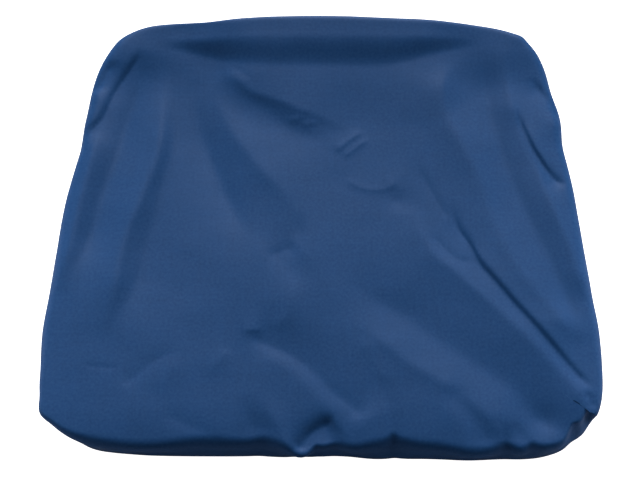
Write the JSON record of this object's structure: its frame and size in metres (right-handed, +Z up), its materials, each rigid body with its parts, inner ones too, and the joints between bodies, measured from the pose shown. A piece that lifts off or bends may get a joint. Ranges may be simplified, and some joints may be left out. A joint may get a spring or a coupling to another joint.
{
  "type": "hatch cover",
  "caption": "Fitted cloth cover for a tapered hatch lid, hollow, with creased soft top and gathered hem that turns under.",
  "frame": {"origin": "underside of the cloth in the middle of the top, where the hatch lid carries it", "axes": "+X to the right along the wide front edge, +Y to the narrow back edge, +Z up out of the top"},
  "size_m": [0.62, 0.5374, 0.0653],
  "materials": {
    "cloth": "navy woven polyester, faint satin"
  },
  "bodies": {
    "root": {"cover": "cloth"}
  },
  "joints": []
}
